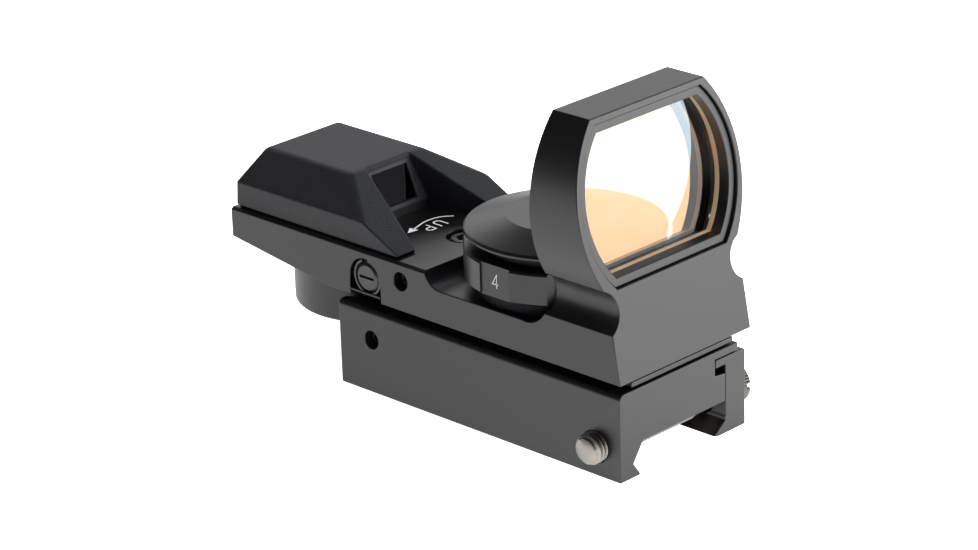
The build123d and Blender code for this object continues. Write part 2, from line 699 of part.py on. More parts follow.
def emitter_cover():
    """Hollow cover over the lamp, with two arms either side of the light path."""
    shape = cover_block(0)
    shape -= block(-20, 20, cover_front, 10, deck_z - 1, cover_top)
    rebate = block(-20, 20, cover_rear - 5, cover_front + 5, deck_z - 1, deck_z + cover_rebate)
    inner = cover_half - cover_rebate
    rebate -= block(-inner, inner, cover_rear + cover_rebate, cover_front - cover_rebate, 0, 30)
    shape -= rebate
    back = cover_roof_front
    far = cover_front + 2
    far_half = notch_rear_half + (far - back) * notch_flare
    notch = along_z(closed((-notch_rear_half, back), (notch_rear_half, back), (far_half, far),
                           (-far_half, far)), deck_z - 1, cover_top + 1)
    frame_foot = back + 2.9
    notch &= along_x(closed((back - 0.2, cover_top + 1), (back - 0.05, cover_top - 0.9),
                            (frame_foot, deck_z + 1.4), (frame_foot, deck_z - 1), (far, deck_z - 1),
                            (far, cover_top + 1)), -20, 20)
    shape -= notch
    hollow = cover_block(cover_wall) & block(-20, 20, cover_rear, back - 1.3, deck_z - 1, 40)
    for x, y in cover_screw_places():
        hollow -= post(cover_boss_radius, x, y, deck_z - 1, 24.2)
    shape -= hollow
    shape -= block(-window_frame_half, window_frame_half, back - 3, back + 4,
                   deck_z + 2.0, cover_top - 1.5)
    shape -= post(4.4 + swing_room, 0, selector_y, deck_z - 1, drum_top + 0.3)
    for x, y in cover_screw_places():
        shape -= post(cover_screw_radius, x, y, deck_z - 1, 22.6)
    return shape


def cover_screws():
    """Four screws from the knob's pocket up into the cover."""
    group = []
    for x, y in cover_screw_places():
        head = post(cover_screw_head, x, y, knob_top + 0.45, knob_top + 1.75)
        group.append(head + post(cover_screw_radius, x, y, knob_top + 1.7, 22.4))
    return Compound(children=group)


def emitter_window():
    """Small smoked pane in the cover's window frame."""
    low, high = deck_z + 2.05, cover_top - 1.55
    return along_x(closed((cover_roof_front + 2.1, low), (cover_roof_front + 1.7, low),
                          (cover_roof_front - 0.5, high), (cover_roof_front - 0.1, high)),
                   -window_frame_half + 0.05, window_frame_half - 0.05)


def lamp_board():
    """Circuit board under the cover's roof that carries the lamp."""
    return block(-board_half, board_half, -46.5, -34.6, board_bottom, board_bottom + board_thickness)


def lamp():
    """Light-emitting diode that hangs into the turret."""
    body = block(-1.2, 1.2, selector_y - 1.3, selector_y + 0.2, 21.9, 24.0)
    dome = Pos(0, selector_y + 0.2, drum_hole_z) * Rot(-90, 0, 0) * Cylinder(0.8, 1.2)
    legs = block(-0.9, -0.5, selector_y - 0.8, selector_y - 0.4, 23.9, 24.9)
    legs += block(0.5, 0.9, selector_y - 0.8, selector_y - 0.4, 23.9, 24.9)
    return body + dome + legs


def lamp_leads():
    """Two thin insulated leads from the switch board to the lamp board."""
    group = []
    low = floor_bottom
    for x in (lead_x - 0.6, lead_x + 0.6):
        route = FilletPolyline(
            (x, -0.5, pocket_floor + seat_thickness), (x, -0.5, low), (x, -44.5, low),
            (x, -44.5, board_bottom), radius=1.2)
        section = Plane(origin=route @ 0, z_dir=route % 0) * Circle(0.35)
        group.append(sweep(section, path=route))
    return Compound(children=group)


makers = [
    rail_clamp_base, movable_jaw, clamp_bolt, base_lock_screw, tilt_plate, tilt_pin, pivot_screw,
    hold_down_screw, hold_down_spring, main_housing, lens, lens_retainer, windage_bush,
    windage_screw, windage_plunger, elevation_screw, elevation_plunger, side_lock_screw,
    switch_seat, seat_screws, switch_board, brightness_dial, spindle_clip, contact_wiper,
    cell_contact, coin_cell, battery_cap, cap_contact, cap_oring, selector_knob,
    selector_spindle, selector_clip, reticle_drum, reticle_foils, emitter_cover, cover_screws,
    emitter_window, lamp_board, lamp, lamp_leads,
]

for maker in makers:
    export_step(maker(), f"parts/{maker.__name__}.step")
    print(maker.__name__)
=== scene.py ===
import json
import math
import bmesh
import bpy
import numpy as np
from mathutils import Matrix, Vector

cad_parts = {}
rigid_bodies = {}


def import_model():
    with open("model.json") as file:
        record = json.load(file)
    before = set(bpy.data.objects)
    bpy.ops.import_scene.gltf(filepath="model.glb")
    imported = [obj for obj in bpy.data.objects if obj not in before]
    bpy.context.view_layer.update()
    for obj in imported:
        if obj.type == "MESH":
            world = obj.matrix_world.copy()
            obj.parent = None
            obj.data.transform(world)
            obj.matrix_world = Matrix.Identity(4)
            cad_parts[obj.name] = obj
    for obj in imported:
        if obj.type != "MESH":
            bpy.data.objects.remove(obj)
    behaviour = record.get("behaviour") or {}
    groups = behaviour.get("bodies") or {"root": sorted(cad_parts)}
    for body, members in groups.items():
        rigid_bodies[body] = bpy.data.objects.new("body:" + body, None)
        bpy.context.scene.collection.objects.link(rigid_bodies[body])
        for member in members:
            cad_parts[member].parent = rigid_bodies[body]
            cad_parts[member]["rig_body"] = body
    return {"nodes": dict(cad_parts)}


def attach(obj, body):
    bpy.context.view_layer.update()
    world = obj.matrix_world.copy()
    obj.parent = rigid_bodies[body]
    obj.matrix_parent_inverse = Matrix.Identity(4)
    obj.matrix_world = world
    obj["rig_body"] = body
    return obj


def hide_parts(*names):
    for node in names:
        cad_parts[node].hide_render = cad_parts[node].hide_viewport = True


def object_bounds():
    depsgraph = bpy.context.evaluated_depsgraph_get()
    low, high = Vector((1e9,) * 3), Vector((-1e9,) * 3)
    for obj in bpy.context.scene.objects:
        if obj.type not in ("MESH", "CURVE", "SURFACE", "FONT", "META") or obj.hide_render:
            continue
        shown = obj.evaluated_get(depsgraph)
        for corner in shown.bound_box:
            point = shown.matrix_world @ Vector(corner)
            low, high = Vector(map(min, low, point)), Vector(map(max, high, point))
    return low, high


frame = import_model()
nodes = frame["nodes"]
cadLow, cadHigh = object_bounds()
mm = 0.001
print("frame loaded:", len(nodes), "nodes")

# ---- small tools for shader trees ----


def shader(tree, kind, **values):  # adds one node; a value is a number, a colour or another node's socket
    made = tree.nodes.new("ShaderNode" + kind)
    for key, value in values.items():
        if key.startswith("set_"):
            setattr(made, key[4:], value)
            continue
        numbered = key[0] == "i" and key[1:].isdigit()
        socket = made.inputs[int(key[1:]) if numbered else key.replace("_", " ")]
        if isinstance(value, bpy.types.NodeSocket):
            tree.links.new(value, socket)
        else:
            socket.default_value = value
    return made


def newFinish(name):  # empty material with its output node
    finish = bpy.data.materials.new(name)
    finish.use_nodes = True
    tree = finish.node_tree
    tree.nodes.clear()
    output = tree.nodes.new("ShaderNodeOutputMaterial")
    return finish, tree, output


def place(tree, stretch=(1, 1, 1), turn=(0, 0, 0)):
    # object coordinates in millimetres, stretched along the axes
    coords = tree.nodes.new("ShaderNodeTexCoord")
    spread = tuple(s / mm for s in stretch)
    return shader(tree, "Mapping", Vector=coords.outputs["Object"], Scale=spread, Rotation=turn).outputs[0]


def span(tree, value, low, high):  # carries a 0..1 pattern onto low..high
    return shader(tree, "MapRange", Value=value, To_Min=low, To_Max=high).outputs[0]


def ringPlace(tree, centre, stretch):  # rings of a turned part: root of x squared plus (y - centre) squared
    spot = tree.nodes.new("ShaderNodeTexCoord").outputs["Object"]
    parts = shader(tree, "SeparateXYZ", Vector=spot)
    across = shader(tree, "Math", set_operation="SUBTRACT", i0=parts.outputs[1], i1=centre * mm).outputs[0]
    squareX = shader(tree, "Math", set_operation="MULTIPLY", i0=parts.outputs[0],
                     i1=parts.outputs[0]).outputs[0]
    squares = shader(tree, "Math", set_operation="MULTIPLY_ADD", i0=across, i1=across, i2=squareX).outputs[0]
    reach = shader(tree, "Math", set_operation="SQRT", i0=squares).outputs[0]
    ringSpot = shader(tree, "CombineXYZ", X=reach, Z=parts.outputs[2]).outputs[0]
    return shader(tree, "Mapping", Vector=ringSpot, Scale=tuple(k / mm for k in stretch)).outputs[0]


def metalFinish(name, look):  # a broad cloud drives the tint; grain and long tool marks drive roughness and a fine relief
    finish, tree, output = newFinish(name)
    stretch = look["markStretch"]
    markPlace = ringPlace(tree, look["ringY"], stretch) if "ringY" in look else place(tree, stretch)
    grain = shader(tree, "TexNoise", Vector=place(tree), Scale=look["grainScale"], Detail=4.0).outputs[0]
    marks = shader(tree, "TexNoise", Vector=markPlace, Scale=1.0, Detail=3.0).outputs[0]
    cloud = shader(tree, "TexNoise", Vector=place(tree), Scale=look["cloudScale"], Detail=2.0).outputs[0]
    both = shader(tree, "Math", set_operation="MULTIPLY_ADD", i0=marks, i1=look["markShare"],
                  i2=grain).outputs[0]
    tone = shader(tree, "MixRGB", Fac=span(tree, cloud, 0.2, 0.8), Color1=look["dark"],
                  Color2=look["light"]).outputs[0]
    rough = shader(tree, "Math", set_operation="ADD", i0=span(tree, both, -look["roughSpread"],
                                                              look["roughSpread"]),
                                                              i1=look["rough"]).outputs[0]
    relief = shader(tree, "Bump", Strength=look["relief"], Distance=look["reliefDepth"] * mm,
                    Height=both).outputs[0]
    body = shader(tree, "BsdfPrincipled", Base_Color=tone, Roughness=rough, Normal=relief)
    body.inputs["Metallic"].default_value = look["metal"]
    body.inputs["Specular IOR Level"].default_value = look["specular"]
    tree.links.new(body.outputs[0], output.inputs[0])
    return finish


blackLook = {"dark": (0.0025, 0.0025, 0.0029, 1), "light": (0.0045, 0.0045, 0.0048, 1), "metal": 0.0,
             "specular": 0.68, "rough": 0.36, "roughSpread": 0.05, "grainScale": 3.2,
             "markStretch": (1, 1, 1), "markShare": 0.5, "cloudScale": 0.16, "relief": 0.16,
             "reliefDepth": 0.02}
anodised = metalFinish("satinBlackAnodised", {**blackLook, "markStretch": (0.35, 5.0, 2.2)})
anodisedLong = metalFinish("satinBlackAnodisedLong", {**blackLook, "markStretch": (4.0, 0.12, 4.0)})
anodisedTurned = metalFinish("turnedBlackAnodised", {**blackLook, "rough": 0.33, "ringY": 5.16,
                                                     "markStretch": (7, 1, 5)})
knobTurned = metalFinish("turnedBlackKnob", {**blackLook, "rough": 0.38, "ringY": -36.5,
                                             "markStretch": (7, 1, 5)})
plated = metalFinish("nickelPlated", {**blackLook, "dark": (0.24, 0.22, 0.20, 1),
                                      "light": (0.44, 0.41, 0.38, 1), "metal": 1.0, "rough": 0.34,
                                      "roughSpread": 0.12, "relief": 0.3, "markStretch": (6.0, 1.0, 1.0),
                                      "grainScale": 5.0})
blued = metalFinish("blackOxideSteel", {**blackLook, "dark": (0.05, 0.05, 0.052, 1),
                                        "light": (0.09, 0.09, 0.09, 1), "metal": 0.85, "rough": 0.3,
                                        "markStretch": (2.0, 6.0, 2.0)})
satinSteel = metalFinish("satinSteel", {**blackLook, "dark": (0.05, 0.05, 0.049, 1),
                                        "light": (0.13, 0.13, 0.126, 1), "metal": 0.9, "rough": 0.42,
                                        "roughSpread": 0.12, "grainScale": 2.2, "relief": 0.4})
headMetal = metalFinish("knurledNickel", {**blackLook, "dark": (0.08, 0.072, 0.065, 1),
                                          "light": (0.15, 0.138, 0.127, 1), "metal": 1.0, "rough": 0.38,
                                          "roughSpread": 0.1, "relief": 0.3, "markStretch": (1.0, 6.0, 6.0),
                                          "grainScale": 5.0})
springWire = metalFinish("drawnSpringSteel", {**blackLook, "dark": (0.40, 0.40, 0.41, 1),
                                              "light": (0.56, 0.56, 0.57, 1), "metal": 1.0, "rough": 0.25,
                                              "markStretch": (3.0, 3.0, 8.0)})
yellowBrass = metalFinish("brightBrass", {**blackLook, "dark": (0.55, 0.38, 0.15, 1),
                                          "light": (0.74, 0.56, 0.26, 1), "metal": 1.0, "rough": 0.24,
                                          "markStretch": (1.0, 1.0, 7.0)})
cellSteel = metalFinish("cellSteel", {**blackLook, "dark": (0.58, 0.58, 0.57, 1),
                                      "light": (0.70, 0.70, 0.69, 1), "metal": 1.0, "rough": 0.22,
                                      "markStretch": (0.4, 6.0, 1.0)})
rubberBlack = metalFinish("mattRubber", {**blackLook, "dark": (0.010, 0.010, 0.010, 1),
                                         "light": (0.02, 0.02, 0.02, 1), "rough": 0.8, "specular": 0.3,
                                         "grainScale": 8.0, "relief": 0.4})
leadSleeve = metalFinish("redSleeve", {**blackLook, "dark": (0.40, 0.02, 0.02, 1),
                                       "light": (0.55, 0.04, 0.03, 1), "rough": 0.35, "specular": 0.5})


def mouldedFinish(name, look):  # pebbled moulding skin: cells and noise added as height, bluish black
    finish, tree, output = newFinish(name)
    spot = place(tree)
    pebble = shader(tree, "TexVoronoi", Vector=spot, Scale=look["pebble"],
                    set_feature="SMOOTH_F1").outputs["Distance"]
    fine = shader(tree, "TexNoise", Vector=spot, Scale=look["fine"], Detail=5.0).outputs[0]
    height = shader(tree, "Math", set_operation="ADD", i0=pebble, i1=fine).outputs[0]
    tone = shader(tree, "MixRGB", Fac=fine, Color1=look["dark"], Color2=look["light"]).outputs[0]
    relief = shader(tree, "Bump", Strength=look["relief"], Distance=look["reliefDepth"] * mm,
                    Height=height).outputs[0]
    body = shader(tree, "BsdfPrincipled", Base_Color=tone, Roughness=span(tree, fine, look["roughLow"],
                                                                          look["roughHigh"]), Normal=relief)
    body.inputs["Specular IOR Level"].default_value = look["specular"]
    tree.links.new(body.outputs[0], output.inputs[0])
    return finish


mouldLook = {"dark": (0.006, 0.0065, 0.0085, 1), "light": (0.013, 0.0135, 0.017, 1), "pebble": 2.6,
             "fine": 6.0, "relief": 0.5, "reliefDepth": 0.06, "roughLow": 0.42, "roughHigh": 0.62,
             "specular": 0.5}
moulded = mouldedFinish("mouldedBlack", mouldLook)
bareMoulded = mouldedFinish("plainMouldedBlack", {**mouldLook, "relief": 0.25, "pebble": 4.0,
                                                  "specular": 0.12})


def boardFinish(name, look):
    # green lacquer with copper tracks where a stretched cell pattern is near its edge
    finish, tree, output = newFinish(name)
    cells = shader(tree, "TexVoronoi", Vector=place(tree), Scale=look["trackScale"],
                   set_feature="DISTANCE_TO_EDGE").outputs[0]
    track = shader(tree, "Math", set_operation="LESS_THAN", i0=cells, i1=look["trackWidth"]).outputs[0]
    tone = shader(tree, "MixRGB", Fac=track, Color1=look["lacquer"], Color2=look["copper"]).outputs[0]
    relief = shader(tree, "Bump", Strength=look["relief"], Distance=look["reliefDepth"] * mm,
                    Height=track).outputs[0]
    body = shader(tree, "BsdfPrincipled", Base_Color=tone, Normal=relief)
    body.inputs["Roughness"].default_value = look["rough"]
    tree.links.new(body.outputs[0], output.inputs[0])
    return finish


circuitGreen = boardFinish("lacqueredBoard", {"trackScale": 0.7, "trackWidth": 0.09,
                                              "lacquer": (0.01, 0.10, 0.04, 1),
                                              "copper": (0.20, 0.26, 0.07, 1), "relief": 0.4,
                                              "reliefDepth": 0.03, "rough": 0.3})


def clearFinish(name, look):  # see-through body and mirror coat, each with a faint cloud in it
    finish, tree, output = newFinish(name)
    cloud = shader(tree, "TexNoise", Vector=place(tree), Scale=look["cloudScale"], Detail=2.0).outputs[0]
    through = shader(tree, "MixRGB", Fac=cloud, Color1=look["throughLow"],
                     Color2=look["throughHigh"]).outputs[0]
    mirrorTone = shader(tree, "MixRGB", Fac=cloud, Color1=look["mirrorLow"],
                        Color2=look["mirrorHigh"]).outputs[0]
    clear = shader(tree, "BsdfTransparent", Color=through).outputs[0]
    mirror = shader(tree, "BsdfGlossy", Color=mirrorTone, Roughness=look["mirrorRough"]).outputs[0]
    joined = shader(tree, "AddShader", i0=clear, i1=mirror).outputs[0]
    tree.links.new(joined, output.inputs[0])
    return finish


coatLook = {"cloudScale": 0.08, "throughLow": (0.42, 0.52, 0.57, 1), "throughHigh": (0.44, 0.54, 0.59, 1),
            "mirrorLow": (0.35, 0.188, 0.084, 1), "mirrorHigh": (0.37, 0.202, 0.094, 1), "mirrorRough": 0.02}
lensCoat = clearFinish("reflectingCoat", coatLook)


def glassFinish(name, look):  # bending glass with a faint cloud in its tint
    finish, tree, output = newFinish(name)
    cloud = shader(tree, "TexNoise", Vector=place(tree), Scale=look["cloudScale"], Detail=2.0).outputs[0]
    tone = shader(tree, "MixRGB", Fac=cloud, Color1=look["dark"], Color2=look["light"]).outputs[0]
    body = shader(tree, "BsdfPrincipled", Base_Color=tone, Roughness=0.0)
    body.inputs["Transmission Weight"].default_value = 1.0
    body.inputs["IOR"].default_value = look["bend"]
    tree.links.new(body.outputs[0], output.inputs[0])
    return finish


lensGlass = glassFinish("lensGlass", {"cloudScale": 0.08, "dark": (0.96, 0.98, 0.98, 1),
                                      "light": (0.98, 1, 1, 1), "bend": 1.5})
# painted shade: the near-nil mirror tone takes away the pane's reflection so the emitter opening stays black
# like the shade inside the hood; the dark through tone is its smoke tint
smokedPanePaintedShade = clearFinish("smokedPanePaintedShade", {**coatLook, "throughLow": (0.03, 0.03, 0.035, 1),
                                        "throughHigh": (0.05, 0.05, 0.055, 1),
                                        "mirrorLow": (0.002, 0.002, 0.0025, 1),
                                        "mirrorHigh": (0.004, 0.004, 0.0045, 1)})
redLens = clearFinish("redLampBody", {**coatLook, "throughLow": (0.55, 0.02, 0.02, 1),
                                      "throughHigh": (0.7, 0.04, 0.03, 1), "mirrorLow": (0.2, 0.06, 0.06, 1),
                                      "mirrorHigh": (0.25, 0.1, 0.1, 1)})
# painted light: the ground rim's peach tone stands for orange light thrown from the reflecting coat onto the
# lens edge
frostedRimPaintedLight = metalFinish("groundRimPaintedOrangeLight", {**blackLook, "dark": (0.42, 0.25, 0.13, 1),
                                         "light": (0.80, 0.62, 0.44, 1), "rough": 0.45,
                                         "markStretch": (0.2, 3.0, 0.1), "relief": 0.2})
paintWhite = metalFinish("whiteFillPaint", {**blackLook, "dark": (0.62, 0.62, 0.60, 1),
                                            "light": (0.80, 0.80, 0.77, 1), "rough": 0.6, "grainScale": 7.0,
                                            "relief": 0.3})
print("finishes made:", len(bpy.data.materials))

# ---- finishes for the nodes that keep their own shape ----

finishOf = {"rail_clamp_base": anodisedLong, "movable_jaw": anodisedLong, "main_housing": anodised,
            "tilt_plate": anodisedLong, "brightness_dial": anodisedTurned, "battery_cap": anodisedTurned,
            "selector_knob": knobTurned, "lens_retainer": anodised, "clamp_bolt": plated,
            "base_lock_screw": blued, "side_lock_screw": blued, "windage_screw": satinSteel,
            "elevation_screw": blued, "cover_screws": blued, "tilt_pin": plated, "pivot_screw": plated,
            "hold_down_screw": plated, "hold_down_spring": springWire, "windage_bush": yellowBrass,
            "windage_plunger": plated, "elevation_plunger": plated, "switch_seat": bareMoulded,
            "seat_screws": plated, "switch_board": circuitGreen, "lamp_board": circuitGreen,
            "spindle_clip": springWire, "selector_clip": springWire, "contact_wiper": yellowBrass,
            "cell_contact": yellowBrass, "coin_cell": cellSteel, "cap_contact": springWire,
            "cap_oring": rubberBlack, "selector_spindle": plated, "reticle_drum": yellowBrass,
            "reticle_foils": springWire, "emitter_cover": moulded, "emitter_window": smokedPanePaintedShade,
            "lamp": redLens, "lamp_leads": leadSleeve, "lens": lensGlass}


def wear(piece, finish):  # puts one finish in every slot of a piece
    if not piece.data.materials:
        piece.data.materials.append(finish)
    for slot in piece.material_slots:
        slot.material = finish


for nodeName, finish in finishOf.items():
    wear(nodes[nodeName], finish)
unfinished = sorted(set(nodes) - set(finishOf))
print("nodes finished:", len(finishOf), "left:", unfinished)

# ---- pieces ----

edgeRules = {"weld": 1e-7, "copyWeld": 1e-6, "flatAngle": 0.4, "crispAngle": 13, "smoothAngle": 35}


def pieceFrom(name, points, faces, finish, smoothAngle=edgeRules["smoothAngle"]):
    # mesh from whole arrays, its normals turned outwards and its edges sharp by angle
    mesh = bpy.data.meshes.new(name)
    mesh.from_pydata(np.asarray(points, float).tolist(), [], [tuple(int(i) for i in f) for f in faces])
    mesh.update()
    piece = bpy.data.objects.new(name, mesh)
    bpy.context.scene.collection.objects.link(piece)
    tidyMesh(mesh, smoothAngle, outwards=True)
    mesh.materials.append(finish)
    return piece


def tidyMesh(mesh, smoothAngle, outwards=False):  # merges doubles and marks the sharp edges
    work = bmesh.new()
    work.from_mesh(mesh)
    bmesh.ops.remove_doubles(work, verts=work.verts, dist=edgeRules["weld"])
    if outwards:
        bmesh.ops.recalc_face_normals(work, faces=work.faces)
    markSharp(work, smoothAngle)
    work.to_mesh(mesh)
    work.free()


def markSharp(work, smoothAngle):  # smooth faces, with edges sharp where two faces meet above the angle
    for face in work.faces:
        face.smooth = True
    for edge in work.edges:
        edge.smooth = len(edge.link_faces) == 2 and edge.calc_face_angle(0.0) < math.radians(smoothAngle)


def softCopy(nodeName, pieceName, finish, edges):  # a node's own form, its edges weighed and then rounded
    source = nodes[nodeName]
    mesh = source.data.copy()
    mesh.name = pieceName
    if mesh.has_custom_normals and "custom_normal" in mesh.attributes:
        mesh.attributes.remove(mesh.attributes["custom_normal"])
    piece = bpy.data.objects.new(pieceName, mesh)
    bpy.context.scene.collection.objects.link(piece)
    work = bmesh.new()
    work.from_mesh(mesh)
    bmesh.ops.remove_doubles(work, verts=work.verts, dist=edgeRules["copyWeld"])
    flat = math.radians(edgeRules["flatAngle"])
    bmesh.ops.dissolve_limit(work, angle_limit=flat, verts=work.verts, edges=work.edges)
    layers = work.edges.layers.float
    weight = layers.get("bevel_weight_edge") or layers.new("bevel_weight_edge")
    for edge in work.edges:
        if len(edge.link_faces) == 2 and edge.calc_face_angle(0.0) > math.radians(edges["above"]):
            edge[weight] = edges["share"](edge)
    markSharp(work, edgeRules["crispAngle"])
    work.to_mesh(mesh)
    work.free()
    rounding = piece.modifiers.new("rounding", "BEVEL")
    rounding.limit_method = "WEIGHT"
    rounding.width = edges["radius"] * mm
    rounding.segments = edges["segments"]
    rounding.use_clamp_overlap = False
    rounding.miter_outer = "MITER_SHARP"
    rounding.harden_normals = False
    shading = piece.modifiers.new("shading", "WEIGHTED_NORMAL")
    shading.keep_sharp = True
    mesh.materials.clear()
    mesh.materials.append(finish)
    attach(piece, source["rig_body"])
    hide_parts(nodeName)
    return piece


def edgeMiddle(edge):  # middle of an edge in millimetres
    return (edge.verts[0].co + edge.verts[1].co) / 2 / mm


# emitter hood: its outer edges are moulded with a soft radius, the notch with a finer one
hoodSoft = {"radius": 0.7, "segments": 4, "above": 12, "roof": 0.85, "band": 0.4, "notch": 0.38, "foot": 0.2}
hoodForm = {"footZ": 19.2, "bandZ": 23.0, "roofZ": 27.4, "half": 14.2, "rearY": -52.9, "slopeY": -33.0,
            "slope": 0.52, "chamferRise": 4.4, "chamferRun": 6.2, "near": 0.06, "bandNear": 0.1,
            "frontY": -33.5, "mouthHalf": 9.5, "notchY": -33.4, "notchHalf": 4.9, "notchSpread": 0.323,
            "rimNear": 0.25, "lipNear": 0.3, "lipHalf": 5.1}


def hoodShare(edge):  # how much of the full radius an edge of the emitter hood gets
    at = edgeMiddle(edge)
    ends = [v.co / mm for v in edge.verts]
    if at.z < hoodForm["footZ"]:
        return 0.0
    if all(outerHood(end) for end in ends):
        if all(notchRim(end) for end in ends):
            return hoodSoft["notch"]
        return hoodSoft["band"] if at.z < hoodForm["bandZ"] + hoodForm["bandNear"] else hoodSoft["roof"]
    inMouth = at.y > hoodForm["frontY"] and abs(at.x) < hoodForm["mouthHalf"]
    return hoodSoft["foot"] if inMouth and at.z > hoodForm["footZ"] else 0.0


def outerHood(p):
    # true on the hood's outer form, whose top is the lowest of roof, front slope and side chamfer
    slopeZ = hoodForm["roofZ"] - hoodForm["slope"] * (p.y - hoodForm["slopeY"])
    slant = hoodForm["chamferRise"] / hoodForm["chamferRun"]
    chamferZ = hoodForm["bandZ"] + (hoodForm["half"] - abs(p.x)) * slant
    onTop = abs(p.z - min(hoodForm["roofZ"], slopeZ, chamferZ)) < hoodForm["near"]
    onSide = abs(abs(p.x) - hoodForm["half"]) < hoodForm["near"]
    return onTop or onSide or p.y < hoodForm["rearY"]


def notchRim(p):  # true on the notch's two side rims, which part by a steady share of y, and on its rear lip
    half = hoodForm["notchHalf"] + (p.y - hoodForm["slopeY"]) * hoodForm["notchSpread"]
    onSide = p.y > hoodForm["notchY"] and abs(abs(p.x) - half) < hoodForm["rimNear"]
    return onSide or abs(p.y - hoodForm["slopeY"]) < hoodForm["lipNear"] and abs(p.x) < hoodForm["lipHalf"]


emitterHood = softCopy("emitter_cover", "emitterHood", moulded, {**hoodSoft, "share": hoodShare})

# machined parts: a fine broken edge everywhere
fineEdge = {"radius": 0.14, "segments": 2, "above": 32, "share": lambda edge: 1.0}
for nodeName, pieceName, finish in (
        ("battery_cap", "batteryLid", anodisedTurned), ("main_housing", "sightHousing", anodised),
        ("rail_clamp_base", "clampBlock", anodisedLong),
        ("movable_jaw", "clampJaw", anodisedLong), ("selector_knob", "reticleKnob", knobTurned),
        ("tilt_plate", "tiltPlate", anodisedLong), ("lens_retainer", "lensFrame", anodised)):
    made = softCopy(nodeName, pieceName, finish, fineEdge)
print("edges rounded")


def turnedGrid(radii, along, around):  # grid of rings along X: each has one radius, or one for every angle
    angle = np.linspace(0, 2 * np.pi, around, endpoint=False)
    radii = np.asarray(radii, float)
    if radii.ndim == 1:
        radii = np.repeat(radii[:, None], around, 1)
    side = radii * np.cos(angle)
    rise = radii * np.sin(angle)
    run = np.repeat(np.asarray(along, float)[:, None], around, 1)
    return np.stack([run, side, rise], -1)


def gridFaces(rings, around, start=0):  # quads between neighbouring rings of a closed grid
    k = np.arange(rings - 1)[:, None] * around
    i = np.arange(around)[None, :]
    j = (i + 1) % around
    return (np.stack([k + i, k + j, k + j + around, k + i + around], -1) + start).reshape(-1, 4)


def closedTurned(rings, around):  # points and faces of a ring stack, with a fan on a middle point at each end
    points = rings.reshape(-1, 3)
    faces = [tuple(f) for f in gridFaces(len(rings), around)]
    last = len(rings) - 1
    centres = np.array([rings[0].mean(0), rings[last].mean(0)])
    a, b = len(points), len(points) + 1
    i = np.arange(around)
    j = (i + 1) % around
    faces += [(a, q, p) for p, q in zip(i, j)]
    faces += [(b, last * around + p, last * around + q) for p, q in zip(i, j)]
    return np.vstack([points, centres]), faces


threadForm = {"steep": 1.35, "crest": 0.12, "shankDrop": 0.35}


def threadRadius(angle, run, major, depth, pitch):
    # flank height: a triangle wave of run over pitch less turns, steepened and cut flat at crest and root
    phase = (run[:, None] / pitch - angle[None, :] / (2 * np.pi)) % 1.0
    wave = np.clip(np.abs(phase - 0.5) * 2 * threadForm["steep"] - threadForm["crest"], 0, 1)
    return major - depth * wave


def threadedRod(settings):  # rings along X: thread on its stretch, plain shank before it, chamfered ends
    around = settings["around"]
    angle = np.linspace(0, 2 * np.pi, around, endpoint=False)
    low, high = settings["from"], settings["to"]
    run = np.linspace(low, high, int((high - low) / settings["pitch"] * settings["perPitch"]) + 1)
    radius = threadRadius(angle, run, settings["major"], settings["depth"], settings["pitch"])
    radius[run < settings["threadFrom"]] = settings["major"] - settings["depth"] * threadForm["shankDrop"]
    for end, way in ((high, 1), (low, -1)):
        reach = (end - run) * way
        limit = settings["major"] - settings["chamfer"] + np.clip(reach, 0, None)
        radius = np.minimum(radius, limit[:, None])
    return turnedGrid(radius, run, around)


def carve(piece, low, high):  # takes a box out of a piece and keeps the result as its mesh
    corners = np.stack(np.meshgrid(*zip(low, high), indexing="ij"), -1).reshape(-1, 3) * mm
    faces = [(0, 1, 3, 2), (4, 6, 7, 5), (0, 4, 5, 1), (2, 3, 7, 6), (0, 2, 6, 4), (1, 5, 7, 3)]
    cutter = pieceFrom("cutter", corners, faces, plated)
    cut = piece.modifiers.new("cut", "BOOLEAN")
    cut.operation, cut.object, cut.solver = "DIFFERENCE", cutter, "EXACT"
    bpy.context.view_layer.update()
    result = bpy.data.meshes.new_from_object(piece.evaluated_get(bpy.context.evaluated_depsgraph_get()))
    piece.modifiers.clear()
    piece.data = result
    bpy.data.objects.remove(cutter)
    tidyMesh(result, edgeRules["smoothAngle"])


def slotAt(piece, s, start, stop):  # screwdriver slot across a screw's end, between two places along X
    carve(piece, (start, s["y"] - s["slotReach"], s["z"] - s["slotHalf"]),
          (stop, s["y"] + s["slotReach"], s["z"] + s["slotHalf"]))


# cross bolt: M5 thread right across, round head with a straight knurl and a screwdriver slot
boltSettings = {"y": 24.9, "z": -0.7, "around": 72, "perPitch": 12, "pitch": 0.8, "major": 2.5,
                "depth": 0.55, "from": -14.2, "to": 17.2, "threadFrom": -6.0, "chamfer": 0.6,
                "headFrom": -17.75, "headLong": 3.8, "headRadius": 3.4, "knurls": 44, "knurlDepth": 0.13,
                "headChamfer": 0.4, "headLip": 0.05, "headBlend": 0.15, "lipDrop": 0.12, "slotHalf": 0.5,
                "slotDepth": 1.2, "slotReach": 5, "slotPast": 1}


